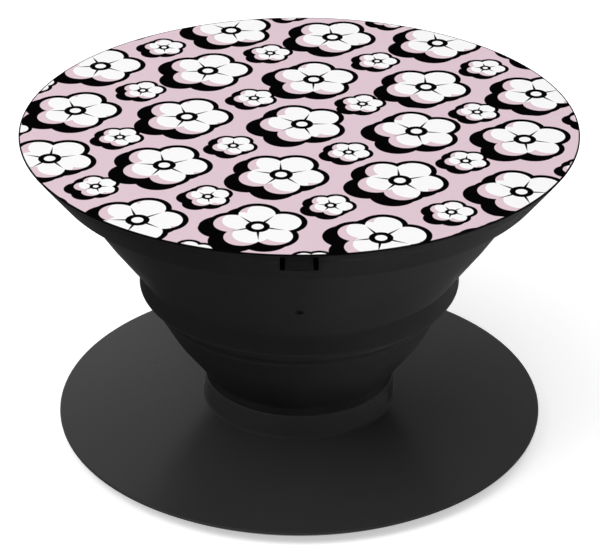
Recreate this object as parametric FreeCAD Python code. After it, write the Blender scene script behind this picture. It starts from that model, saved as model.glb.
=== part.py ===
# Collapsible phone grip: a round base that sticks to the phone, a moulded accordion that pops out and
# folds flat, and a round printed top that locks onto the accordion's ring with a quarter turn.
# Millimetres, +Z up, origin at the centre of the adhesive face. The grip is modelled popped out.
import FreeCAD, Part
import math
import os

Y_AXIS = FreeCAD.Vector(0, 1, 0)
Z_AXIS = FreeCAD.Vector(0, 0, 1)
ORIGIN = FreeCAD.Vector(0, 0, 0)

# Overall sizes and the clearances between pieces
top_radius = 19.85
base_radius = 18.0
open_height = 23.7
running_gap = 0.05
seat_gap = 0.15

# Adhesive pad and its seat under the base
pad_margin = 1.6
pad_thickness = 0.6
pad_seat_depth = 0.3

# Base plate: thin rim, upper face that rises to a neck, which takes the accordion's foot, and a snap post
rim_height = 1.0
rim_edge = 0.15
rim_undercut = 0.7
plate_rise = 0.8
neck_radius = 7.06
neck_wall = 0.78
neck_height = 1.9
neck_draft = 0.08
neck_root_round = 0.3
neck_floor = 1.8
post_wall = 1.35
post_lip_reach = 0.7
post_lip_height = 0.7
post_lead_in = 0.25

# Accordion: three nested cups joined by thin flexures; each stretch of its outer face, from the foot up,
# is given by how far it flares or tapers and how far it rises; the wall thins to the flexure at each fold
wall = 0.75
flexure = 0.45
foot_step = 0.08
foot_band = 1.0
bowl_flare = 2.32
bowl_rise = 2.85
bowl_round = 5.0
cup_flare = 1.35
cup_rise = 2.7
tuck_flare = 1.07
tuck_rise = 1.15
middle_taper = 0.12
middle_rise = 1.55
flexure_flare = 2.6
flexure_rise = 3.65
foot_flange_reach = 2.2
foot_flange_thickness = 0.75
bead_overhang = 0.5
bead_thickness = 0.6
vent_radius = 0.28
vent_share_down = 0.13

# Lock ring: flared band under the top, web with two keyways, two spring fingers
band_height = 2.9
band_flare = 2.12
band_foot = 0.78
band_wall = 1.05
top_edge = 0.12
parting_drop = 0.72
web_thickness = 0.6
web_reach = 2.25
throat_height = 0.5
finger_width = 1.9
finger_slot = 0.3
finger_thickness = 0.75
finger_root_drop = 1.8
finger_tip_drop = 1.02
finger_pocket_depth = 0.55

# Top disc: recess for the print, hub with two bayonet lugs, notch over each finger
print_thickness = 0.15
print_rim = 0.13
hub_gap = 0.3
hub_wall = 1.0
lug_reach = 0.75
lug_thickness = 0.6
lug_sweep = 40.0
lug_play = 1.0
stop_sweep = 5.0
quarter_turn = 90.0
notch_depth = 1.2
notch_lip = 0.27

# Length that a cutter runs past the faces it opens
cut_through = 1.0


def band_radius(height):
    # outer radius of the flared side, shared by the top disc's edge and the lock ring
    slope = band_flare / (band_height - top_edge)
    return top_radius - slope * max(0.0, open_height - top_edge - height)


# Heights and radii that follow from the sizes above, from the bottom up
pad_radius = base_radius - pad_margin
pad_seat_height = pad_thickness - pad_seat_depth
neck_floor_height = pad_thickness + neck_floor
neck_root_height = rim_height + plate_rise
neck_top_height = neck_root_height + neck_height
neck_bore_radius = neck_radius - neck_wall
foot_radius = neck_radius - foot_step
foot_tube_radius = neck_bore_radius - running_gap
foot_top_height = neck_top_height + foot_band
bowl_radius = foot_radius + bowl_flare
bowl_height = foot_top_height + bowl_rise
tuck_radius = bowl_radius + cup_flare
tuck_height = bowl_height + cup_rise
step_radius = tuck_radius + tuck_flare
step_height = tuck_height + tuck_rise
waist_radius = step_radius - middle_taper
waist_height = step_height + middle_rise
upper_fold_radius = waist_radius + flexure_flare
upper_fold_height = waist_height + flexure_rise
flange_low_height = neck_floor_height + running_gap
flange_high_height = flange_low_height + foot_flange_thickness
post_radius = neck_bore_radius - foot_flange_reach
post_lip_radius = post_radius + post_lip_reach
band_bottom_height = open_height - band_height
parting_height = open_height - parting_drop
throat_radius = band_radius(band_bottom_height) - band_foot
tier_top_radius = throat_radius - running_gap
channel_radius = throat_radius + bead_overhang
channel_floor_height = band_bottom_height + throat_height
bead_low_height = channel_floor_height + running_gap
bead_top_height = bead_low_height + bead_thickness
web_bottom_height = bead_top_height + running_gap
web_top_height = web_bottom_height + web_thickness
web_inner_radius = tier_top_radius - web_reach
finger_root_height = open_height - finger_root_drop
finger_tip_height = open_height - finger_tip_drop
finger_face_radius = band_radius(finger_root_height)
finger_back_radius = finger_face_radius - finger_thickness
finger_window = finger_width + 2 * finger_slot
hub_radius = web_inner_radius - hub_gap
lug_radius = hub_radius + lug_reach
lug_top_height = web_bottom_height - 2 * running_gap
lug_bottom_height = lug_top_height - lug_thickness
recess_height = open_height - print_thickness


def outline(corners):
    # closed wire in the XZ plane; each corner is (radius, height) or (radius, height, rounding)
    points = [FreeCAD.Vector(corner[0], 0, corner[1]) for corner in corners]
    rounds = [corner[2] if len(corner) > 2 else 0.0 for corner in corners]
    starts, ends, arcs = [], [], []
    for i, point in enumerate(points):
        if rounds[i] == 0.0:
            starts.append(point)
            ends.append(point)
            arcs.append(None)
            continue
        back = (points[i - 1] - point).normalize()
        ahead = (points[(i + 1) % len(points)] - point).normalize()
        half_angle = back.getAngle(ahead) / 2
        reach = rounds[i] / math.tan(half_angle)
        bisector = (back + ahead).normalize()
        middle = point + bisector * (rounds[i] / math.sin(half_angle) - rounds[i])
        starts.append(point + back * reach)
        ends.append(point + ahead * reach)
        arcs.append(Part.Arc(starts[-1], middle, ends[-1]).toShape())
    edges = []
    for i in range(len(points)):
        if arcs[i] is not None:
            edges.append(arcs[i])
        following = starts[(i + 1) % len(points)]
        if ends[i].distanceToPoint(following) > 1e-7:
            edges.append(Part.makeLine(ends[i], following))
    return Part.Wire(edges)


def turned(corners):
    return Part.Face(outline(corners)).revolve(ORIGIN, Z_AXIS, 360)


def sector(corners, middle_angle, sweep):
    # part of a ring, centred on an angle about Z
    face = Part.Face(outline(corners))
    face.rotate(ORIGIN, Z_AXIS, middle_angle - sweep / 2)
    return face.revolve(ORIGIN, Z_AXIS, sweep)


def block(inner_radius, outer_radius, low, high):
    return [(inner_radius, low), (outer_radius, low), (outer_radius, high), (inner_radius, high)]


def front_box(width, near_radius, far_radius, low, high):
    # box at the front (-Y), from the far radius in to the near one
    corner = FreeCAD.Vector(-width / 2, -far_radius, low)
    return Part.makeBox(width, far_radius - near_radius, high - low, corner)


def front_and_back(shape):
    # a shape made at the front, and its twin half a turn away
    twin = shape.copy()
    twin.rotate(ORIGIN, Z_AXIS, 180)
    return [shape, twin]


def inner_folds(points, thicknesses):
    # corners of the inner face: each fold of the outer face, moved in by its own thickness
    corners = [FreeCAD.Vector(radius, 0, height) for radius, height in points]
    folds = []
    for before, corner, after, thickness in zip(corners, corners[1:], corners[2:], thicknesses):
        above = Y_AXIS.cross((corner - before).normalize())
        below = Y_AXIS.cross((after - corner).normalize())
        fold = corner + (above + below) * (thickness / (1 + above.dot(below)))
        folds.append((fold.x, fold.z))
    return folds


def make_adhesive_pad():
    return turned(block(0, pad_radius, 0, pad_thickness))


def make_base_plate():
    groove_top_height = flange_high_height + running_gap
    post_top_height = groove_top_height + post_lip_height
    return turned([
        (0, pad_thickness),
        (pad_radius + seat_gap, pad_thickness),
        (pad_radius + seat_gap, pad_seat_height),
        (base_radius - rim_undercut, pad_seat_height),
        (base_radius, rim_height - rim_edge),
        (base_radius, rim_height),
        (neck_radius + neck_draft, neck_root_height, neck_root_round),
        (neck_radius, neck_top_height),
        (neck_bore_radius, neck_top_height),
        (neck_bore_radius, neck_floor_height),
        (post_radius, neck_floor_height),
        (post_radius, groove_top_height),
        (post_lip_radius, groove_top_height),
        (post_lip_radius - post_lead_in, post_top_height),
        (post_radius - post_wall, post_top_height),
        (post_radius - post_wall, neck_floor_height),
        (0, neck_floor_height),
    ])


def make_accordion():
    folds = [
        (tier_top_radius, band_bottom_height),
        (upper_fold_radius, upper_fold_height),
        (waist_radius, waist_height),
        (step_radius, step_height),
        (tuck_radius, tuck_height),
        (bowl_radius, bowl_height),
        (foot_radius, foot_top_height),
    ]
    inner = inner_folds(folds, [flexure, flexure, flexure, flexure, wall])
    inner_top_radius = tier_top_radius - wall
    foot_inner_radius = foot_tube_radius - wall
    bellows = turned([
        (inner_top_radius, bead_top_height),
        (inner_top_radius, band_bottom_height),
        *inner,
        (foot_inner_radius, foot_top_height),
        (foot_inner_radius, flange_high_height),
        (post_radius + running_gap, flange_high_height),
        (post_radius + running_gap, flange_low_height),
        (foot_tube_radius, flange_low_height),
        (foot_tube_radius, neck_top_height),
        (foot_radius, neck_top_height),
        (foot_radius, foot_top_height),
        (bowl_radius, bowl_height, bowl_round),
        (tuck_radius, tuck_height),
        (step_radius, step_height),
        (waist_radius, waist_height),
        (upper_fold_radius, upper_fold_height),
        (tier_top_radius, band_bottom_height),
        (tier_top_radius, bead_low_height),
        (tier_top_radius + bead_overhang, bead_low_height),
        (tier_top_radius + bead_overhang, bead_top_height),
    ])
    return bellows.cut(vent_drill())


def vent_drill():
    # small round air vent, square to the flexure under the upper fold, at the front
    length = math.hypot(flexure_flare, flexure_rise)
    outward = FreeCAD.Vector(0, -flexure_rise / length, -flexure_flare / length)
    centre = FreeCAD.Vector(0, vent_share_down * flexure_flare - upper_fold_radius,
                            upper_fold_height - vent_share_down * flexure_rise)
    return Part.makeCylinder(vent_radius, 4 * flexure, centre - outward * (2 * flexure), outward)


def make_lock_ring():
    band_top_radius = band_radius(parting_height)
    ring = turned([
        (throat_radius, band_bottom_height),
        (band_radius(band_bottom_height), band_bottom_height),
        (band_top_radius, parting_height),
        (band_top_radius - band_wall, parting_height),
        (band_top_radius - band_wall, web_top_height),
        (web_inner_radius, web_top_height),
        (web_inner_radius, web_bottom_height),
        (channel_radius, web_bottom_height),
        (channel_radius, channel_floor_height),
        (throat_radius, channel_floor_height),
    ])
    key_profile = block(web_inner_radius - cut_through, lug_radius + seat_gap,
                        web_bottom_height - cut_through, web_top_height + cut_through)
    keyways = [sector(key_profile, angle, lug_sweep + 2 * lug_play) for angle in (90, 270)]
    window = front_box(finger_window, finger_back_radius - finger_pocket_depth, top_radius,
                       finger_root_height, parting_height + cut_through)
    finger = front_box(finger_width, finger_back_radius, finger_face_radius,
                       finger_root_height, finger_tip_height)
    ring = ring.cut(keyways + front_and_back(window))
    return ring.fuse(front_and_back(finger) + turn_stops())


def turn_stops():
    # ribs under the web that end the lugs' quarter turn, two for each lug
    stop_profile = block(web_inner_radius, lug_radius, lug_bottom_height, web_bottom_height)
    reach = lug_sweep / 2 + lug_play + stop_sweep / 2
    stops = []
    for lug_angle in (0, 180):
        for stop_angle in (lug_angle - reach, lug_angle + quarter_turn + reach):
            stops.append(sector(stop_profile, stop_angle, stop_sweep))
    return stops


def make_top_disc():
    plate = turned([
        (0, parting_height),
        (hub_radius - hub_wall, parting_height),
        (hub_radius - hub_wall, lug_bottom_height),
        (hub_radius, lug_bottom_height),
        (hub_radius, parting_height),
        (band_radius(parting_height), parting_height),
        (top_radius, open_height - top_edge),
        (top_radius, open_height),
        (top_radius - print_rim, open_height),
        (top_radius - print_rim, recess_height),
        (0, recess_height),
    ])
    lug_profile = block(hub_radius - hub_wall / 2, lug_radius, lug_bottom_height, lug_top_height)
    lugs = [sector(lug_profile, angle, lug_sweep) for angle in (0, 180)]
    notch = front_box(finger_window, top_radius - notch_depth, top_radius + cut_through,
                      parting_height - cut_through, open_height - notch_lip)
    return plate.fuse(lugs).cut(front_and_back(notch))


def make_print_insert():
    print_radius = top_radius - print_rim - running_gap / 2
    return turned(block(0, print_radius, recess_height, open_height))


def main():
    os.makedirs("parts", exist_ok=True)
    pieces = {
        "adhesive_pad": make_adhesive_pad(),
        "base_plate": make_base_plate(),
        "accordion": make_accordion(),
        "lock_ring": make_lock_ring(),
        "top_disc": make_top_disc(),
        "print_insert": make_print_insert(),
    }
    for name, shape in pieces.items():
        box = shape.BoundBox
        print(f"{name}: {len(shape.Solids)} solid, valid {shape.isValid()}, {shape.Volume:.1f} mm3, "
              f"z {box.ZMin:.2f} to {box.ZMax:.2f}")
        shape.exportStep(f"parts/{name}.step")


main()
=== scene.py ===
import bpy
import bmesh
import math
from mathutils import Matrix, Vector


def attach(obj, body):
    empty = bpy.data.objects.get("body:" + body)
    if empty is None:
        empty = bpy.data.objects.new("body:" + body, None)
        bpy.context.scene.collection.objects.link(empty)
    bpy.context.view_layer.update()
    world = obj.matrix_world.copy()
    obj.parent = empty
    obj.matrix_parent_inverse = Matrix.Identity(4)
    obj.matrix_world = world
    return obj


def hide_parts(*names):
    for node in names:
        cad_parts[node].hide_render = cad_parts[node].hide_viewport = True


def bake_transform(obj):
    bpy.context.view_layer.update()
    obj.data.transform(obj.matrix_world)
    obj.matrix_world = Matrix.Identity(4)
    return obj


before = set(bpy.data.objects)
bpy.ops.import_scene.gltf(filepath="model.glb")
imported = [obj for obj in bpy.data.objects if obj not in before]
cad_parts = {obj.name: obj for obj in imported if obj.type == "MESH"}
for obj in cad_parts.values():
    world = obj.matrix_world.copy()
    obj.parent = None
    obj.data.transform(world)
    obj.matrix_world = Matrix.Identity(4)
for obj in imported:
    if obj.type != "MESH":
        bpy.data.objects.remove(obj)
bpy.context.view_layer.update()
mm = 0.001               # sections below are in millimetres, the scene is in metres
print("frame loaded with", sorted(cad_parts))


# how finely meshes are made
meshing = {
    "arcStep": math.radians(11),       # turn of one piece of a rounding
    "tightRound": 0.5,                 # roundings up to this are edges or creases, larger ones curved faces
    "hold": 0.04,                      # points this near the ends of a flat run keep it flat when shaded
    "sharpAngle": math.radians(38),    # faces that meet at more than this keep a crisp edge
    "onAxis": 1e-6,                    # smaller radii lie on the axis
}


# sections of turned pieces: a corner is (radius, height), with its rounding and then the painted shade of
# the face that follows it, where it has them
def bendCorner(before, corner, after, rounding):
    # points of a rounding, each with how deep it lies in a tight bend, signed by the way the section turns
    if rounding == 0.0:
        return [(corner, 0.0)]
    back = (before - corner).normalized()
    ahead = (after - corner).normalized()
    half = back.angle(ahead) / 2
    reach = rounding / math.tan(half)
    centre = corner + (back + ahead).normalized() * (rounding / math.sin(half))
    spoke = corner + back * reach - centre
    side = 1 if back.cross(ahead) < 0 else -1
    turn = math.pi - 2 * half
    pieces = max(2, math.ceil(turn / meshing["arcStep"]))
    depth = min(1.0, turn / (math.pi / 2)) if rounding <= meshing["tightRound"] else 0.0
    arc = []
    for k in range(pieces + 1):
        point = centre + Matrix.Rotation(side * turn * k / pieces, 2) @ spoke
        arc.append((point, side * depth * math.sin(math.pi * k / pieces)))
    return arc


def softSection(corners, longest):
    # points along the section, each with its bend: above 0 on edges, below 0 in creases and on faces with
    # painted shade
    points = [Vector(corner[:2]) for corner in corners]
    count = len(points)
    area = sum(points[i - 1].cross(points[i]) for i in range(count))
    outward = 1 if area > 0 else -1
    hold = meshing["hold"]
    arcs = []
    for i in range(count):
        rounding = corners[i][2] if len(corners[i]) > 2 else 0.0
        arcs.append(bendCorner(points[i - 1], points[i], points[(i + 1) % count], rounding))
    section = []
    for i in range(count):
        section += [(point, outward * bend) for point, bend in arcs[i]]
        start = arcs[i][-1][0]
        run = arcs[(i + 1) % count][0][0] - start
        onAxis = start.x < meshing["onAxis"] and run.x < meshing["onAxis"]
        if onAxis or run.length < 3 * hold:
            continue
        paintedShade = corners[i][3] if len(corners[i]) > 3 else 0.0
        steps = max(1, math.ceil((run.length - 2 * hold) / longest))
        for k in range(steps + 1):
            along = hold + (run.length - 2 * hold) * k / steps
            # a face after a corner with painted shade carries it as a bend below 0
            section.append((start + run.normalized() * along, -paintedShade))
    return section


def insetFolds(folds, thicknesses):    # inner corners of a wall, each fold moved in by its own thickness
    corners = [Vector(fold) for fold in folds]
    inner = []
    for before, corner, after, thickness in zip(corners, corners[1:], corners[2:], thicknesses):
        above = (corner - before).normalized()
        below = (after - corner).normalized()
        square = Vector((above.y + below.y, -above.x - below.x))
        inner.append(tuple(corner + square * (thickness / (1 + above.dot(below)))))
    return inner


# mesh makers
def newPiece(name, mesh):
    piece = bpy.data.objects.new(name, mesh)
    bpy.context.scene.collection.objects.link(piece)
    return piece


def softShade(mesh):
    mesh.shade_smooth()
    mesh.set_sharp_from_angle(angle=meshing["sharpAngle"])


def finishPiece(name, builder):
    bmesh.ops.recalc_face_normals(builder, faces=builder.faces)
    mesh = bpy.data.meshes.new(name)
    builder.to_mesh(mesh)
    builder.free()
    softShade(mesh)
    return newPiece(name, mesh)


def ringPoint(radius, angle, height):
    return (radius * mm * math.cos(angle), radius * mm * math.sin(angle), height * mm)


def turnedPiece(name, corners, segments=192, longest=0.7):
    builder = bmesh.new()
    edgeLayer = builder.verts.layers.float.new("edge")    # read by the materials for edge wear with painted edge highlight and for painted crease shade
    rings = []
    for point, bend in softSection(corners, longest):
        if point.x < meshing["onAxis"]:
            rings.append([builder.verts.new((0, 0, point.y * mm))] * segments)
            continue
        ring = []
        for k in range(segments):
            vert = builder.verts.new(ringPoint(point.x, 2 * math.pi * k / segments, point.y))
            vert[edgeLayer] = bend
            ring.append(vert)
        rings.append(ring)
    for lower, upper in zip(rings, rings[1:] + rings[:1]):
        if lower[0] is lower[1] and upper[0] is upper[1]:    # both ends lie on the axis
            continue
        for k in range(segments):
            following = (k + 1) % segments
            corner = [lower[k], lower[following], upper[following], upper[k]]
            builder.faces.new(list(dict.fromkeys(corner)))
    return finishPiece(name, builder)


def loftedPiece(name, sections, bevel=0.0):
    # closed piece through a row of like sections, with flat ends
    builder = bmesh.new()
    rows = [[builder.verts.new(point) for point in section] for section in sections]
    for first, second in zip(rows, rows[1:]):
        for k in range(len(first)):
            following = (k + 1) % len(first)
            builder.faces.new((first[k], first[following], second[following], second[k]))
    builder.faces.new(rows[0])
    builder.faces.new(rows[-1])
    if bevel > 0:
        bmesh.ops.bevel(builder, geom=builder.edges[:], offset=bevel * mm, segments=2, profile=0.5,
                        affect="EDGES")
    return finishPiece(name, builder)


def blockEnd(near, far, low, high):    # (radius, height) corners of a plain block
    return [(near, low), (far, low), (far, high), (near, high)]


def arcBlock(name, corners, middle, sweep, steps=12):
    sections = []
    for k in range(steps + 1):
        angle = math.radians(middle - sweep / 2 + sweep * k / steps)
        sections.append([ringPoint(radius, angle, height) for radius, height in corners])
    return loftedPiece(name, sections)


def crossBar(name, corners, width, side, bevel=0.0):    # across the front (side -1) or the back (side 1)
    ends = []
    for x in (-width / 2, width / 2):
        ends.append([(x * mm, side * radius * mm, height * mm) for radius, height in corners])
    return loftedPiece(name, ends, bevel)


def carve(piece, tools, how="DIFFERENCE", solver="EXACT"):
    for tool in tools:
        cut = piece.modifiers.new("carve", "BOOLEAN")
        cut.operation = how
        cut.solver = solver
        cut.object = tool
    carved = bpy.data.meshes.new_from_object(piece.evaluated_get(bpy.context.evaluated_depsgraph_get()))
    piece.modifiers.clear()
    piece.data = carved
    carved.name = piece.name
    softShade(carved)
    for tool in tools:
        bpy.data.objects.remove(tool)


# shader helpers
def placeNode(tree, kind, **settings):
    node = tree.nodes.new(kind)
    for name, value in settings.items():
        setattr(node, name, value)
    return node


def feed(tree, socket, value):
    if isinstance(value, bpy.types.NodeSocket):
        tree.links.new(value, socket)
    elif socket.type == "RGBA":
        socket.default_value = (*value, 1.0)
    else:
        socket.default_value = value


def maths(tree, operation, *values):
    node = placeNode(tree, "ShaderNodeMath", operation=operation)
    for socket, value in zip(node.inputs, values):
        feed(tree, socket, value)
    return node.outputs[0]


def vectorMaths(tree, operation, *values):
    node = placeNode(tree, "ShaderNodeVectorMath", operation=operation)
    for socket, value in zip(node.inputs, values):
        feed(tree, socket, value)
    return node.outputs["Value"] if operation == "LENGTH" else node.outputs["Vector"]


def rangeOf(tree, value, fromLow, fromHigh, toLow=0.0, toHigh=1.0, kind="SMOOTHSTEP"):
    node = placeNode(tree, "ShaderNodeMapRange", interpolation_type=kind)
    labels = ("Value", "From Min", "From Max", "To Min", "To Max")
    for label, number in zip(labels, (value, fromLow, fromHigh, toLow, toHigh)):
        feed(tree, node.inputs[label], number)
    return node.outputs["Result"]


def mixColour(tree, share, first, second):
    node = placeNode(tree, "ShaderNodeMix", data_type="RGBA")
    feed(tree, node.inputs["Factor"], share)
    feed(tree, node.inputs[6], first)      # the node's colour sockets come after its number and vector ones
    feed(tree, node.inputs[7], second)
    return node.outputs[2]


def noiseTexture(tree, place, scale, detail=2.0, distortion=0.0):
    node = placeNode(tree, "ShaderNodeTexNoise")
    feed(tree, node.inputs["Vector"], place)
    feed(tree, node.inputs["Scale"], scale)
    node.inputs["Detail"].default_value = detail
    node.inputs["Distortion"].default_value = distortion
    return node.outputs["Fac"]


def ownPlace(tree):
    return placeNode(tree, "ShaderNodeTexCoord").outputs["Object"]


def newGroup(name, inputs, outputs):
    group = bpy.data.node_groups.new(name, "ShaderNodeTree")
    for label, kind, value in inputs:
        socket = group.interface.new_socket(label, in_out="INPUT", socket_type="NodeSocket" + kind)
        socket.default_value = value
    for label, kind in outputs:
        group.interface.new_socket(label, in_out="OUTPUT", socket_type="NodeSocket" + kind)
    return group, placeNode(group, "NodeGroupInput").outputs, placeNode(group, "NodeGroupOutput").inputs


def useGroup(tree, group, **values):
    node = placeNode(tree, "ShaderNodeGroup", node_tree=group)
    for label, value in values.items():
        feed(tree, node.inputs[label], value)
    return node.outputs


# fine moulded grain: a spark-eroded mould leaves small soft pits of an even size
grainShape = {"toothFineness": 1.7, "toothDetail": 1.0, "toothShare": 0.5}


def makeMouldGrain():
    group, given, result = newGroup(
        "mouldGrain",
        [("Pits", "Float", 6000.0)],
        [("Height", "Float"), ("Fleck", "Float")])
    pits = placeNode(group, "ShaderNodeTexVoronoi", feature="F1")
    feed(group, pits.inputs["Vector"], ownPlace(group))
    feed(group, pits.inputs["Scale"], given["Pits"])
    fineness = maths(group, "MULTIPLY", given["Pits"], grainShape["toothFineness"])
    tooth = noiseTexture(group, ownPlace(group), fineness, grainShape["toothDetail"])
    rise = maths(group, "MULTIPLY", tooth, grainShape["toothShare"])
    feed(group, result["Height"], maths(group, "ADD", pits.outputs["Distance"], rise))
    feed(group, result["Fleck"], tooth)
    return group


# broad soft clouding from the melt's flow and from handling
hazeShape = {"detail": 4.0, "distortion": 0.6, "range": (0.3, 0.7)}


def makeSoftHaze():
    group, given, result = newGroup("softHaze", [("Clouds", "Float", 90.0)], [("Haze", "Float")])
    broad = noiseTexture(group, ownPlace(group), given["Clouds"], hazeShape["detail"],
                         hazeShape["distortion"])
    feed(group, result["Haze"], rangeOf(group, broad, *hazeShape["range"]))
    return group


# edges rub smooth and pale in patches, worn and partly a painted highlight; creases stay dull and carry
# painted shade
wearShape = {"range": (0.35, 0.65), "least": 0.55}


def makeEdgeWearAndShade():
    group, given, result = newGroup(
        "edgeWearAndShade",
        [("Patches", "Float", 300.0)],
        [("Edge", "Float"), ("Crease", "Float")])
    bend = placeNode(group, "ShaderNodeAttribute", attribute_name="edge").outputs["Fac"]
    patches = noiseTexture(group, ownPlace(group), given["Patches"])
    wornAndHighlitEdge = rangeOf(group, patches, *wearShape["range"], wearShape["least"], 1.0)
    feed(group, result["Edge"], maths(group, "MULTIPLY", maths(group, "MAXIMUM", bend, 0.0), wornAndHighlitEdge))
    # the crease mask darkens creases in colour: painted shade
    feed(group, result["Crease"], maths(group, "MAXIMUM", maths(group, "MULTIPLY", bend, -1.0), 0.0))
    return group


mouldGrain = makeMouldGrain()
softHaze = makeSoftHaze()
edgeWearAndShade = makeEdgeWearAndShade()


# what the black mouldings share; each piece's own look says what differs
mouldedLook = {
    # edge paleness and its colour are wear and partly a painted highlight; crease shade and its colour are
    # painted shade
    "edgeWearAndPaintedHighlight": 0.3, "edgePolish": 0.05,
    "creasePaintedShade": 0.6, "creasePaintedShadeColour": (0.006, 0.006, 0.006), "creaseRough": 0.4,
    "roughSwing": 0.04, "fleck": 0.05, "clouds": 80.0,
    "pit": 0.14, "grainStrength": 0.12, "grainDepth": 0.01,
}


def newMaterial(name):
    material = bpy.data.materials.new(name)
    material.use_nodes = True
    return material, material.node_tree, material.node_tree.nodes["Principled BSDF"]


def grainBump(tree, shader, height, strength, depth):
    bump = placeNode(tree, "ShaderNodeBump")
    bump.inputs["Strength"].default_value = strength
    bump.inputs["Distance"].default_value = depth * mm
    feed(tree, bump.inputs["Height"], height)
    feed(tree, shader.inputs["Normal"], bump.outputs["Normal"])


def mouldedFinish(name, ownLook):
    # dark moulded plastic or rubber: clouded colour and roughness, fine grain, rubbed edges that are partly
    # a painted highlight, dull creases with painted shade
    look = {**mouldedLook, **ownLook}
    material, tree, shader = newMaterial(name)
    haze = useGroup(tree, softHaze, Clouds=look["clouds"])["Haze"]
    grain = useGroup(tree, mouldGrain, Pits=1 / (look["pit"] * mm))
    wearAndShade = useGroup(tree, edgeWearAndShade)
    # edges paler in colour: wear, and partly a painted highlight
    wornAndHighlitEdge = maths(tree, "MULTIPLY", wearAndShade["Edge"], look["edgeWearAndPaintedHighlight"])
    # creases and dull faces darker in colour: painted shade
    paintedCreaseShade = maths(tree, "MULTIPLY", wearAndShade["Crease"], look["creasePaintedShade"])
    colour = mixColour(tree, haze, look["colour"], look["clouded"])
    colour = mixColour(tree, wornAndHighlitEdge, colour, look["edgeWearAndHighlightColour"])
    feed(tree, shader.inputs["Base Color"], mixColour(tree, paintedCreaseShade, colour, look["creasePaintedShadeColour"]))
    smoothest = look["roughness"] - look["roughSwing"]
    roughest = look["roughness"] + look["roughSwing"]
    rough = rangeOf(tree, haze, 0.0, 1.0, smoothest, roughest, "LINEAR")
    fleck = maths(tree, "MULTIPLY", maths(tree, "SUBTRACT", grain["Fleck"], 0.5), look["fleck"])
    rough = maths(tree, "ADD", rough, fleck)
    rough = maths(tree, "ADD", rough, maths(tree, "MULTIPLY", wearAndShade["Crease"], look["creaseRough"]))
    polish = maths(tree, "MULTIPLY", wearAndShade["Edge"], look["edgePolish"])
    feed(tree, shader.inputs["Roughness"], maths(tree, "SUBTRACT", rough, polish))
    shader.inputs["Specular IOR Level"].default_value = look["specular"]
    grainBump(tree, shader, grain["Height"], look["grainStrength"], look["grainDepth"])
    return material


def dress(piece, material, node, body):
    piece.data.materials.clear()
    piece.data.materials.append(material)
    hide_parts(node)
    if body:
        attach(piece, body)
    print(piece.name, "has", len(piece.data.polygons), "faces")


# adhesive pad: a soft dark gel disc under the base
pad = {
    "radius": 16.4, "thickness": 0.6, "edgeRound": 0.18, "clearance": 0.01,
    "look": {
        "colour": (0.014, 0.0145, 0.015), "clouded": (0.02, 0.02, 0.021), "edgeWearAndHighlightColour": (0.03, 0.03, 0.031),
        "roughness": 0.34, "roughSwing": 0.07, "fleck": 0.1, "specular": 0.35,
        "clouds": 140.0, "pit": 0.5, "grainStrength": 0.35, "grainDepth": 0.03,
    },
}


def makeAdhesivePad():
    top = pad["thickness"] - pad["clearance"]
    piece = turnedPiece("adhesivePad", [
        (0, 0),
        (pad["radius"], 0, pad["edgeRound"]),
        (pad["radius"], top, pad["edgeRound"]),
        (0, top),
    ])
    dress(piece, mouldedFinish("gelPad", pad["look"]), "adhesive_pad", "base")


# base plate: thin disc that rises to the neck, with the snap post inside
plate = {
    "radius": 18.0, "rim": 1.0, "rimEdge": 0.15, "undercut": 0.7,
    "seatRadius": 16.55, "seat": 0.3, "under": 0.6,
    "neckRadius": 7.06, "neckRoot": 1.8, "neckTop": 3.7, "draft": 0.02,
    "bore": 6.28, "floor": 2.4, "postRadius": 4.08, "postBore": 2.73,
    "lipRadius": 4.78, "lipLow": 3.25, "lipTop": 3.95, "leadIn": 0.25,
    "rounds": {
        "seatRoot": 0.06, "seat": 0.08, "undercut": 0.12, "rimLow": 0.04, "rim": 0.11,
        "root": 0.2, "neck": 0.06, "bore": 0.1, "floor": 0.12,
        "lip": 0.05, "leadIn": 0.12, "postBore": 0.1, "postFloor": 0.15,
    },
    "look": {
        "colour": (0.0302, 0.0302, 0.0305), "clouded": (0.0328, 0.033, 0.0331),
        # pale edges are wear and partly a painted highlight; crease shade is painted shade at the neck's
        # root
        "edgeWearAndHighlightColour": (0.04, 0.04, 0.04), "edgeWearAndPaintedHighlight": 0.2, "creasePaintedShade": 0.35,
        "roughness": 0.24, "roughSwing": 0.03, "specular": 0.04,
        "clouds": 70.0, "pit": 0.16, "grainDepth": 0.012,
    },
}


def makeBasePlate():
    soft = plate["rounds"]
    piece = turnedPiece("basePlate", [
        (0, plate["under"]),
        (plate["seatRadius"], plate["under"], soft["seatRoot"]),
        (plate["seatRadius"], plate["seat"], soft["seat"]),
        (plate["radius"] - plate["undercut"], plate["seat"], soft["undercut"]),
        (plate["radius"], plate["rim"] - plate["rimEdge"], soft["rimLow"]),
        (plate["radius"], plate["rim"], soft["rim"]),
        (plate["neckRadius"] + plate["draft"], plate["neckRoot"], soft["root"]),
        (plate["neckRadius"], plate["neckTop"], soft["neck"]),
        (plate["bore"], plate["neckTop"], soft["bore"]),
        (plate["bore"], plate["floor"], soft["floor"]),
        (plate["postRadius"], plate["floor"], soft["floor"]),
        (plate["postRadius"], plate["lipLow"]),
        (plate["lipRadius"], plate["lipLow"], soft["lip"]),
        (plate["lipRadius"] - plate["leadIn"], plate["lipTop"], soft["leadIn"]),
        (plate["postBore"], plate["lipTop"], soft["postBore"]),
        (plate["postBore"], plate["floor"], soft["postFloor"]),
        (0, plate["floor"]),
    ])
    dress(piece, mouldedFinish("satinBase", plate["look"]), "base_plate", "base")


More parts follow.
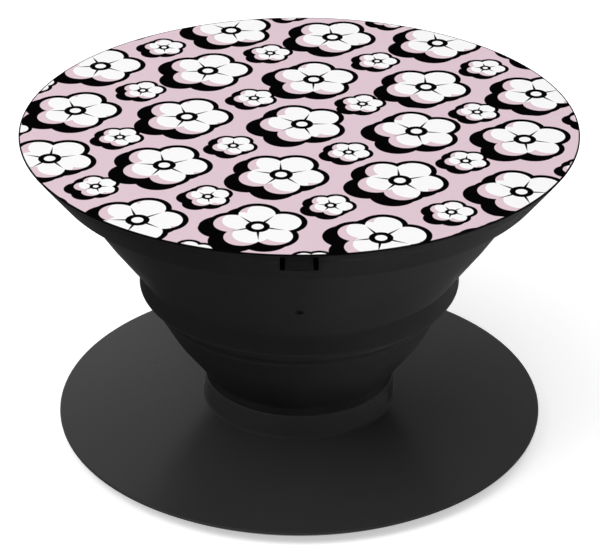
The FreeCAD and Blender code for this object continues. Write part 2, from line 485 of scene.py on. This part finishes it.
# accordion: three nested cups and the thin flexures between them, in one soft moulding
bellows = {
    "wall": 0.75, "flexure": 0.45, "footRadius": 6.98, "footLow": 3.7, "footTop": 4.4, "tubeRadius": 6.23,
    "flangeLow": 2.45, "flangeHigh": 3.2, "flangeBore": 4.13,
    "bowl": (9.3, 7.55), "shoulder": (10.68, 10.05), "groove": (10.6, 10.38), "lip": (11.72, 11.4),
    "waist": (11.6, 12.95), "upperFold": (14.2, 16.6), "topRadius": 16.9, "bandBottom": 20.8,
    "beadLow": 21.35, "beadTop": 21.95, "beadRadius": 17.4,
    "ventRadius": 0.31, "ventShareDown": 0.13,
    "rounds": {
        "topInner": 0.1, "bandInner": 0.6, "inner": (2.0, 0.3, 0.2, 0.3, 2.0), "footInner": 0.4,
        "flangeRoot": 0.15, "flange": 0.08, "tube": 0.1, "foot": 0.1, "footTop": 0.5,
        "bowl": 5.0, "shoulder": 0.4, "groove": 0.12, "lip": 0.3, "waist": 0.35, "upperFold": 3.0,
        "top": 0.3, "beadLow": 0.1, "beadTop": 0.15,
    },
    "tierPaintedShade": 0.35,    # painted shade on the wall of the middle tier between the folds, which is also rougher there
    "look": {
        "colour": (0.0148, 0.0148, 0.015), "clouded": (0.017, 0.017, 0.0172),
        # pale edges here are wear and partly a painted highlight on the lips and folds
        "edgeWearAndHighlightColour": (0.05, 0.05, 0.05), "edgeWearAndPaintedHighlight": 0.18, "edgePolish": 0.06,
        "roughness": 0.48, "fleck": 0.06, "specular": 0.0015,
        "clouds": 110.0, "pit": 0.12, "grainStrength": 0.1,
    },
}


def ventDrill():    # square to the upper flexure, at the front
    fold = Vector(bellows["upperFold"])
    run = Vector(bellows["waist"]) - fold
    spot = fold + run * bellows["ventShareDown"]
    outward = Vector((0, run.y, run.x))
    radius = bellows["ventRadius"]
    length = 2 * bellows["wall"]
    ends = [(0, -length), (radius, -length), (radius, length), (0, length)]
    drill = turnedPiece("ventDrill", ends, segments=32)
    aim = outward.to_track_quat("Z", "X").to_matrix().to_4x4()
    drill.matrix_world = Matrix.Translation((0, -spot.x * mm, spot.y * mm)) @ aim
    bpy.context.view_layer.update()
    return drill


def makeAccordion():
    b = bellows
    soft = b["rounds"]
    top = (b["topRadius"], b["bandBottom"])
    foot = (b["footRadius"], b["footTop"])
    folds = [top, b["upperFold"], b["waist"], b["lip"], b["groove"], b["bowl"], foot]
    inner = insetFolds(folds, [b["flexure"]] * 4 + [b["wall"]])    # thin at the folds, full at the bowl
    topInner = b["topRadius"] - b["wall"]
    footInner = b["tubeRadius"] - b["wall"]
    piece = turnedPiece("accordionBellows", [
        (topInner, b["beadTop"], soft["topInner"]),
        (topInner, b["bandBottom"], soft["bandInner"]),
        *[(*fold, rounding) for fold, rounding in zip(inner, soft["inner"])],
        (footInner, b["footTop"], soft["footInner"]),
        (footInner, b["flangeHigh"], soft["flangeRoot"]),
        (b["flangeBore"], b["flangeHigh"], soft["flange"]),
        (b["flangeBore"], b["flangeLow"], soft["flange"]),
        (b["tubeRadius"], b["flangeLow"], soft["tube"]),
        (b["tubeRadius"], b["footLow"], soft["tube"]),
        (b["footRadius"], b["footLow"], soft["foot"]),
        (*foot, soft["footTop"]),
        (*b["bowl"], soft["bowl"]),
        (*b["shoulder"], soft["shoulder"]),
        (*b["groove"], soft["groove"]),
        # the tier wall after the lip gets painted shade
        (*b["lip"], soft["lip"], b["tierPaintedShade"]),
        (*b["waist"], soft["waist"]),
        (*b["upperFold"], soft["upperFold"]),
        (*top, soft["top"]),
        (b["topRadius"], b["beadLow"]),
        (b["beadRadius"], b["beadLow"], soft["beadLow"]),
        (b["beadRadius"], b["beadTop"], soft["beadTop"]),
    ], longest=0.55)
    carve(piece, [ventDrill()])
    dress(piece, mouldedFinish("softBlack", b["look"]), "accordion", None)
    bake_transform(piece)


# lock ring: flared band under the top, with two spring fingers and keyways for the top's lugs
ring = {
    "low": 20.8, "lowRadius": 17.73, "parting": 22.98, "partingRadius": 19.392,
    "throat": 16.95, "wall": 1.05,
    "channelRadius": 17.45, "channelFloor": 21.3, "webLow": 22.0, "webHigh": 22.6, "webRadius": 14.65,
    "fingerWidth": 1.9, "fingerSlot": 0.3, "fingerFace": 18.56, "fingerThickness": 0.75, "fingerRoot": 21.9,
    "fingerTip": 22.9, "fingerSink": 0.25, "fingerBevel": 0.12, "pocket": 0.55,
    "lugRadius": 15.1, "keyGap": 0.15, "keySweep": 42.0, "keyAngles": (90, 270),
    "stopLow": 21.3, "stopRadius": 14.77, "stopSink": 0.1, "stopSweep": 4.8,
    "stopAngles": (-23.5, 113.5, 156.5, 293.5),
    "overshoot": 1.0,    # cutters reach past what they cut
    "rounds": {"throat": 0.15, "low": 0.12, "parting": 0.05, "inner": 0.08},
    "look": {
        "colour": (0.0112, 0.0112, 0.0113), "clouded": (0.013, 0.013, 0.0131),
        "edgeWearAndHighlightColour": (0.035, 0.035, 0.035), "roughness": 0.5, "specular": 0.0008,
    },
}


def makeLockRing():
    r = ring
    soft = r["rounds"]
    over = r["overshoot"]
    wallInside = r["partingRadius"] - r["wall"]
    piece = turnedPiece("lockRing", [
        (r["throat"], r["low"], soft["throat"]),
        (r["lowRadius"], r["low"], soft["low"]),
        (r["partingRadius"], r["parting"], soft["parting"]),
        (wallInside, r["parting"], soft["inner"]),
        (wallInside, r["webHigh"]),
        (r["webRadius"], r["webHigh"], soft["inner"]),
        (r["webRadius"], r["webLow"], soft["inner"]),
        (r["channelRadius"], r["webLow"]),
        (r["channelRadius"], r["channelFloor"]),
        (r["throat"], r["channelFloor"], soft["inner"]),
    ])
    fingerBack = r["fingerFace"] - r["fingerThickness"]
    keyway = blockEnd(r["webRadius"] - over, r["lugRadius"] + r["keyGap"],
                      r["webLow"] - over / 2, r["webHigh"] + over / 2)
    window = blockEnd(fingerBack - r["pocket"], r["partingRadius"] + over,
                      r["fingerRoot"], r["parting"] + over)
    windowWidth = r["fingerWidth"] + 2 * r["fingerSlot"]
    cutters = [arcBlock("keyway", keyway, angle, r["keySweep"]) for angle in r["keyAngles"]]
    cutters += [crossBar("window", window, windowWidth, side) for side in (-1, 1)]
    carve(piece, cutters, solver="MANIFOLD")
    finger = [
        (fingerBack, r["fingerRoot"] - r["fingerSink"]),
        (r["fingerFace"] - r["fingerSink"], r["fingerRoot"] - r["fingerSink"]),    # sinks into the band
        (r["fingerFace"], r["fingerRoot"]),
        (r["fingerFace"], r["fingerTip"]),
        (fingerBack, r["fingerTip"]),
    ]
    stop = blockEnd(r["stopRadius"], r["lugRadius"], r["stopLow"], r["webLow"] + r["stopSink"])
    added = [crossBar("finger", finger, r["fingerWidth"], side, r["fingerBevel"]) for side in (-1, 1)]
    added += [arcBlock("stop", stop, angle, r["stopSweep"], steps=4) for angle in r["stopAngles"]]
    carve(piece, added, "UNION", "MANIFOLD")
    dress(piece, mouldedFinish("satinRing", r["look"]), "lock_ring", "ring")


# top disc: thin plate with a flared edge, a hub with two bayonet lugs, a notch over each finger
cap = {
    "radius": 19.85, "top": 23.7, "edge": 0.09, "parting": 22.98, "partingRadius": 19.392,
    "recess": 23.55, "printRim": 0.05, "rimInk": (0.0018, 0.0016, 0.0017), "inkBlur": 0.01,
    "hubRadius": 14.35, "hubWall": 1.0, "hubLow": 21.3,
    "lugRadius": 15.1, "lugLow": 21.32, "lugTop": 21.9, "lugSweep": 40.0, "lugAngles": (0, 180),
    "notchWidth": 2.5, "notchDepth": 1.2, "notchTop": 23.49, "overshoot": 1.0,
    "rounds": {"hubRoot": 0.2, "hub": 0.12, "parting": 0.05, "edge": 0.04, "rim": 0.02, "recess": 0.01},
    "look": {
        "colour": (0.0108, 0.0108, 0.0109), "clouded": (0.0125, 0.0125, 0.0126),
        "edgeWearAndHighlightColour": (0.02, 0.02, 0.02), "edgeWearAndPaintedHighlight": 0.2, "roughness": 0.5, "specular": 0.0008,
    },
}


def inkedRim():    # the print's dark border runs over the rim
    material = mouldedFinish("satinTop", cap["look"])
    tree = material.node_tree
    colour = tree.nodes["Principled BSDF"].inputs["Base Color"]
    parts = placeNode(tree, "ShaderNodeSeparateXYZ")
    feed(tree, parts.inputs[0], ownPlace(tree))
    start = cap["top"] - cap["edge"]
    share = rangeOf(tree, parts.outputs["Z"], (start - cap["inkBlur"]) * mm, (start + cap["inkBlur"]) * mm)
    feed(tree, colour, mixColour(tree, share, colour.links[0].from_socket, cap["rimInk"]))
    return material


def makeTopDisc():
    c = cap
    soft = c["rounds"]
    over = c["overshoot"]
    hubInside = c["hubRadius"] - c["hubWall"]
    recessRadius = c["radius"] - c["printRim"]
    piece = turnedPiece("topDisc", [
        (0, c["parting"]),
        (hubInside, c["parting"], soft["hubRoot"]),
        (hubInside, c["hubLow"], soft["hub"]),
        (c["hubRadius"], c["hubLow"], soft["hub"]),
        (c["hubRadius"], c["parting"], soft["hubRoot"]),
        (c["partingRadius"], c["parting"], soft["parting"]),
        (c["radius"], c["top"] - c["edge"], soft["edge"]),
        (c["radius"], c["top"], soft["rim"]),
        (recessRadius, c["top"], soft["recess"]),
        (recessRadius, c["recess"]),
        (0, c["recess"]),
    ], segments=240)
    lug = blockEnd(c["hubRadius"] - c["hubWall"] / 2, c["lugRadius"], c["lugLow"], c["lugTop"])
    carve(piece, [arcBlock("lug", lug, angle, c["lugSweep"]) for angle in c["lugAngles"]], "UNION")
    notch = blockEnd(c["radius"] - c["notchDepth"], c["radius"] + over, c["parting"] - over, c["notchTop"])
    carve(piece, [crossBar("notch", notch, c["notchWidth"], side) for side in (-1, 1)])
    dress(piece, inkedRim(), "top_disc", "top")


# printed face: matt film with outlined blossoms, large and small by turns on a square layout
face = {
    "radius": 19.79, "low": 23.56, "top": 23.7, "edgeRound": 0.01, "border": 19.745,
    "pitch": 8.1, "layoutTurn": math.radians(9), "soft": 0.018, "petals": 5,
    "ground": (0.730, 0.565, 0.631), "paleGround": (0.741, 0.573, 0.640), "shade": (0.745, 0.575, 0.64),
    "white": (0.94, 0.94, 0.94), "ink": (0.0018, 0.0016, 0.0017),
    "large": {
        "shift": (0.0, 0.0, 0.0), "sway": 0.5, "reach": 1.75, "petal": 1.22, "outline": 0.4,
        "shadow": (-0.52, -0.62), "shading": (0.5, 0.46),
        "veins": (0.95, 1.9), "veinWidth": 0.085, "heart": 0.8, "eye": 0.4,
    },
    "small": {
        "shift": (0.5, 0.5, 0.0), "sway": 0.4, "reach": 0.84, "petal": 0.64, "outline": 0.28,
        "shadow": (-0.32, -0.4), "shading": (0.28, 0.25),
        "veins": (0.5, 0.9), "veinWidth": 0.06, "heart": 0.42, "eye": 0.19,
    },
    "clouds": 160.0, "roughness": 0.7, "roughSwing": 0.06, "specular": 0.0,
    "tooth": 0.1, "toothStrength": 0.06, "toothDepth": 0.005,
}


# place within its cell, in millimetres, and a chance value for each cell
def makeTossedCells():
    group, given, result = newGroup(
        "tossedCells",
        [("Place", "Vector", (0, 0, 0)), ("Pitch", "Float", 8.0), ("Shift", "Vector", (0, 0, 0)),
         ("Sway", "Float", 0.4)],
        [("Local", "Vector"), ("Chance", "Float")])
    scaled = vectorMaths(group, "DIVIDE", given["Place"], given["Pitch"])
    scaled = vectorMaths(group, "ADD", scaled, given["Shift"])
    cell = vectorMaths(group, "FLOOR", vectorMaths(group, "ADD", scaled, (0.5, 0.5, 0.0)))
    local = vectorMaths(group, "MULTIPLY", vectorMaths(group, "SUBTRACT", scaled, cell), given["Pitch"])
    chance = placeNode(group, "ShaderNodeTexWhiteNoise", noise_dimensions="2D")
    ownSeed = vectorMaths(group, "MULTIPLY", given["Shift"], (7.0, 7.0, 0.0))    # the two sizes differ
    feed(group, chance.inputs["Vector"], vectorMaths(group, "ADD", cell, ownSeed))
    drift = vectorMaths(group, "SUBTRACT", chance.outputs["Color"], (0.5, 0.5, 0.5))
    local = vectorMaths(group, "SUBTRACT", local, vectorMaths(group, "MULTIPLY", drift, given["Sway"]))
    feed(group, result["Local"], vectorMaths(group, "MULTIPLY", local, (1.0, 1.0, 0.0)))
    feed(group, result["Chance"], chance.outputs["Value"])
    return group


# signed distance to a blossom, distance from its heart, and distance from the seam between two petals
def makeBlossom():
    group, given, result = newGroup(
        "blossom",
        [("Local", "Vector", (0, 0, 0)), ("Chance", "Float", 0.0), ("Reach", "Float", 1.7),
         ("Petal", "Float", 1.2)],
        [("Distance", "Float"), ("Radius", "Float"), ("Seam", "Float")])
    sector = 2 * math.pi / face["petals"]
    radius = vectorMaths(group, "LENGTH", given["Local"])
    parts = placeNode(group, "ShaderNodeSeparateXYZ")
    feed(group, parts.inputs[0], given["Local"])
    angle = maths(group, "ARCTAN2", parts.outputs["Y"], parts.outputs["X"])
    angle = maths(group, "ADD", angle, maths(group, "MULTIPLY", given["Chance"], sector))
    angle = maths(group, "SUBTRACT", maths(group, "FLOORED_MODULO", angle, sector), sector / 2)
    across = maths(group, "MULTIPLY", radius, maths(group, "SINE", angle))
    along = maths(group, "MULTIPLY", radius, maths(group, "COSINE", angle))
    fromPetal = placeNode(group, "ShaderNodeCombineXYZ")
    feed(group, fromPetal.inputs["X"], maths(group, "SUBTRACT", along, given["Reach"]))
    feed(group, fromPetal.inputs["Y"], across)
    petal = maths(group, "SUBTRACT", vectorMaths(group, "LENGTH", fromPetal.outputs[0]), given["Petal"])
    heart = maths(group, "SUBTRACT", radius, given["Reach"])
    feed(group, result["Distance"], maths(group, "MINIMUM", petal, heart))
    feed(group, result["Radius"], radius)
    halfTurn = maths(group, "SUBTRACT", sector / 2, maths(group, "ABSOLUTE", angle))
    feed(group, result["Seam"], maths(group, "MULTIPLY", radius, maths(group, "SINE", halfTurn)))
    return group


def inside(tree, distance, limit):    # 1 where the distance is under the limit, with a soft printed edge
    start = maths(tree, "SUBTRACT", limit, face["soft"])
    end = maths(tree, "ADD", limit, face["soft"])
    return rangeOf(tree, distance, start, end, 1.0, 0.0)


def printBlossoms(tree, colour, place, kind, tossedCells, blossom):
    # cast shadow and outline in ink, white petals, a shaded crescent, veins, a dark heart with an eye
    cells = useGroup(tree, tossedCells, Place=place, Pitch=face["pitch"], Shift=kind["shift"],
                     Sway=kind["sway"])

    def shape(offset):
        moved = vectorMaths(tree, "SUBTRACT", cells["Local"], (*offset, 0.0))
        return useGroup(tree, blossom, Local=moved, Chance=cells["Chance"], Reach=kind["reach"],
                        Petal=kind["petal"])

    petals = shape((0.0, 0.0))
    shadow = inside(tree, shape(kind["shadow"])["Distance"], kind["outline"])
    outline = inside(tree, petals["Distance"], kind["outline"])
    fill = inside(tree, petals["Distance"], 0.0)
    lit = maths(tree, "MULTIPLY", fill, inside(tree, shape(kind["shading"])["Distance"], 0.0))
    start, end = kind["veins"]
    taper = rangeOf(tree, petals["Radius"], start, end, kind["veinWidth"], 0.0, "LINEAR")
    vein = maths(tree, "MULTIPLY", inside(tree, petals["Seam"], taper), inside(tree, petals["Radius"], end))
    heart = inside(tree, petals["Radius"], kind["heart"])
    eye = inside(tree, petals["Radius"], kind["eye"])
    for share, paint in ((shadow, "ink"), (outline, "ink"), (fill, "shade"), (lit, "white"), (vein, "ink"),
                         (heart, "ink"), (eye, "white")):
        colour = mixColour(tree, share, colour, face[paint])
    return colour


def makePrintMaterial():
    material, tree, shader = newMaterial("printedFilm")
    tossedCells = makeTossedCells()
    blossom = makeBlossom()
    place = vectorMaths(tree, "MULTIPLY", ownPlace(tree), (1 / mm, 1 / mm, 0.0))
    turned = placeNode(tree, "ShaderNodeVectorRotate", rotation_type="Z_AXIS")
    feed(tree, turned.inputs["Vector"], place)
    turned.inputs["Angle"].default_value = face["layoutTurn"]
    haze = useGroup(tree, softHaze, Clouds=face["clouds"])["Haze"]
    grain = useGroup(tree, mouldGrain, Pits=1 / (face["tooth"] * mm))
    colour = mixColour(tree, haze, face["ground"], face["paleGround"])
    for kind in (face["small"], face["large"]):
        colour = printBlossoms(tree, colour, turned.outputs[0], kind, tossedCells, blossom)
    printed = inside(tree, vectorMaths(tree, "LENGTH", place), face["border"])
    feed(tree, shader.inputs["Base Color"], mixColour(tree, printed, face["ink"], colour))
    smoothest = face["roughness"] - face["roughSwing"]
    roughest = face["roughness"] + face["roughSwing"]
    rough = rangeOf(tree, grain["Fleck"], 0.0, 1.0, smoothest, roughest, "LINEAR")
    feed(tree, shader.inputs["Roughness"], rough)
    shader.inputs["Specular IOR Level"].default_value = face["specular"]
    grainBump(tree, shader, grain["Height"], face["toothStrength"], face["toothDepth"])
    return material


def makePrintedFace():
    piece = turnedPiece("printedFace", [
        (0, face["low"]),
        (face["radius"], face["low"], face["edgeRound"]),
        (face["radius"], face["top"], face["edgeRound"]),
        (0, face["top"]),
    ], segments=240, longest=1.5)
    dress(piece, makePrintMaterial(), "print_insert", "top")


makeAdhesivePad()
makeBasePlate()
makeAccordion()
makeLockRing()
makeTopDisc()
makePrintedFace()
print("pieces made")


# studio: pale floor, white surround, soft lamps
studio = {
    "floorSize": 4.0, "floorDrop": 0.05, "floorColour": (0.85, 0.85, 0.85),
    "floorLift": 0.5, "floorFade": (0.15, 0.6),    # the floor goes white between these distances
    "surround": 0.3, "surroundColour": (1, 1, 1),
    "lamps": {
        "overhead": {"place": (0.05, -0.1, 0.75), "aim": (0, 0, 0.02), "size": (0.9, 0.9), "power": 2.84},
        "leftFill": {"place": (-0.31, -0.19, 0.46), "aim": (0, 0, 0.01), "size": (0.3, 0.3), "power": 1.36},
        "backLeft": {"place": (-0.25, 0.6, 0.36), "aim": (0, 0, 0.01), "size": (0.4, 0.4), "power": 0.66},
        "floorRight": {"place": (0.094, -0.015, 0.32), "aim": (0.082, -0.015, 0), "size": (0.14, 0.03),
                       "spread": 14, "power": 0.62},    # bounces off the floor beside the base
    },
}


def seenRays(tree):
    # 1 for what the camera, a reflection or clear material sees, 0 for light that scatters
    path = placeNode(tree, "ShaderNodeLightPath")
    seen = maths(tree, "MAXIMUM", path.outputs["Is Camera Ray"], path.outputs["Is Glossy Ray"])
    return maths(tree, "MAXIMUM", seen, path.outputs["Is Transmission Ray"])


def chooseShader(tree, scattered, seen, output):
    choice = placeNode(tree, "ShaderNodeMixShader")
    feed(tree, choice.inputs[0], seenRays(tree))
    tree.links.new(scattered.outputs[0], choice.inputs[1])
    tree.links.new(seen.outputs[0], choice.inputs[2])
    tree.links.new(choice.outputs[0], tree.nodes[output].inputs["Surface"])


def makeFloor():
    mesh = bpy.data.meshes.new("floor")
    builder = bmesh.new()
    bmesh.ops.create_grid(builder, x_segments=8, y_segments=8, size=studio["floorSize"] / 2)
    builder.to_mesh(mesh)
    builder.free()
    floor = newPiece("floor", mesh)
    floor.location.z = -studio["floorDrop"] * mm
    material, tree, shader = newMaterial("paleFloor")
    tree.nodes.remove(shader)
    matt = placeNode(tree, "ShaderNodeBsdfDiffuse")
    feed(tree, matt.inputs["Color"], studio["floorColour"])
    distance = vectorMaths(tree, "LENGTH", ownPlace(tree))
    strength = rangeOf(tree, distance, *studio["floorFade"], studio["floorLift"], 1.0)
    glow = placeNode(tree, "ShaderNodeEmission")
    feed(tree, glow.inputs["Strength"], strength)
    lifted = placeNode(tree, "ShaderNodeAddShader")
    tree.links.new(matt.outputs[0], lifted.inputs[0])
    tree.links.new(glow.outputs[0], lifted.inputs[1])
    chooseShader(tree, matt, lifted, "Material Output")
    mesh.materials.append(material)


def makeSurround():
    world = bpy.data.worlds.new("surround")
    bpy.context.scene.world = world
    world.use_nodes = True
    tree = world.node_tree
    soft = tree.nodes["Background"]
    feed(tree, soft.inputs["Color"], studio["surroundColour"])
    soft.inputs["Strength"].default_value = studio["surround"]
    white = placeNode(tree, "ShaderNodeBackground")
    feed(tree, white.inputs["Color"], studio["surroundColour"])
    chooseShader(tree, soft, white, "World Output")


def makeLamps():
    for name, setting in studio["lamps"].items():
        data = bpy.data.lights.new(name, "AREA")
        data.shape = "RECTANGLE"
        data.size, data.size_y = setting["size"]
        data.energy = setting["power"]
        data.spread = math.radians(setting.get("spread", 180))
        lamp = newPiece(name, data)
        lamp.location = setting["place"]
        aim = Vector(setting["aim"]) - Vector(setting["place"])
        lamp.rotation_euler = aim.to_track_quat("-Z", "Y").to_euler()


# camera fitted to the two discs of the photograph
view = {
    "place": (0, -0.1559, 0.0959), "tilt": math.radians(61.53),
    "lens": 144.84, "sensor": 36.0, "shift": 0.0012, "nearest": 0.01,
}


def makeCamera():
    data = bpy.data.cameras.new("camera")
    data.sensor_width = view["sensor"]
    data.lens = view["lens"]
    data.shift_x = view["shift"]
    data.clip_start = view["nearest"]
    camera = newPiece("camera", data)
    camera.location = view["place"]
    camera.rotation_euler = (view["tilt"], 0, 0)
    bpy.context.scene.camera = camera


makeFloor()
makeSurround()
makeLamps()
makeCamera()
bpy.context.scene.view_settings.view_transform = "Standard"
print("studio set")
